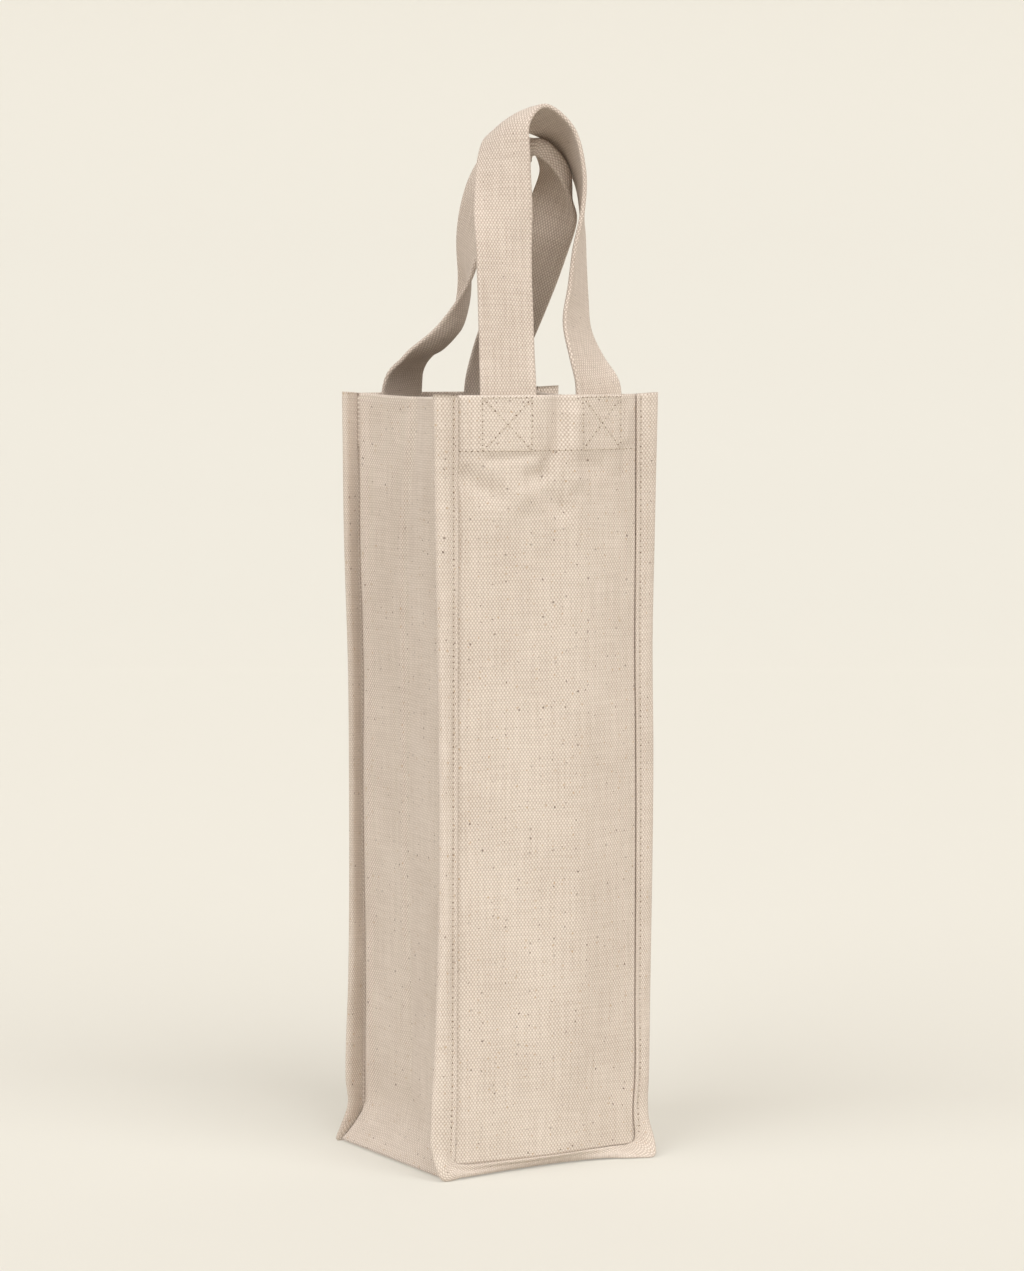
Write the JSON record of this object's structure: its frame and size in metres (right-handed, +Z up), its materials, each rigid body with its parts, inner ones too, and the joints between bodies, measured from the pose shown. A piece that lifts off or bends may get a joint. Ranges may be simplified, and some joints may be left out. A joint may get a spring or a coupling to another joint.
{
  "type": "bottle carrier",
  "caption": "Upright canvas carrier for a wine bottle: crowned panels, a pinched gusset strip bound over their edges, and webbing handle loops sewn inside the hemmed rim.",
  "frame": {"origin": "on the floor, under the middle of the bag", "axes": "+Z up from the base to the handles, -Y out of the front panel, +X along the front panel to its right side"},
  "size_m": [0.111, 0.1022, 0.4642],
  "materials": {
    "canvas": "plain woven natural cotton with seed flecks",
    "webbing": "heavy woven cotton webbing with firm selvages",
    "thread": "spun cotton sewing thread"
  },
  "bodies": {
    "bag": {"front_panel": "canvas", "back_panel": "canvas", "gusset_strip": "canvas", "front_handle_sewn_ends": "webbing", "back_handle_sewn_ends": "webbing", "front_seam_thread": "thread", "back_seam_thread": "thread", "front_hem_thread": "thread", "back_hem_thread": "thread", "front_left_box_thread": "thread", "front_right_box_thread": "thread", "back_left_box_thread": "thread", "back_right_box_thread": "thread"},
    "front_handle": {"front_handle_loop": "webbing"},
    "back_handle": {"back_handle_loop": "webbing"}
  },
  "joints": [
    {"name": "front_handle_swing", "type": "hinge", "parent": "bag", "child": "front_handle", "pos_m": [0, -0.0518, 0.3408], "axis": [1, 0, 0], "range_deg": [0, 180]},
    {"name": "back_handle_swing", "type": "hinge", "parent": "bag", "child": "back_handle", "pos_m": [0, 0.0518, 0.3408], "axis": [-1, 0, 0], "range_deg": [0, 180]}
  ]
}
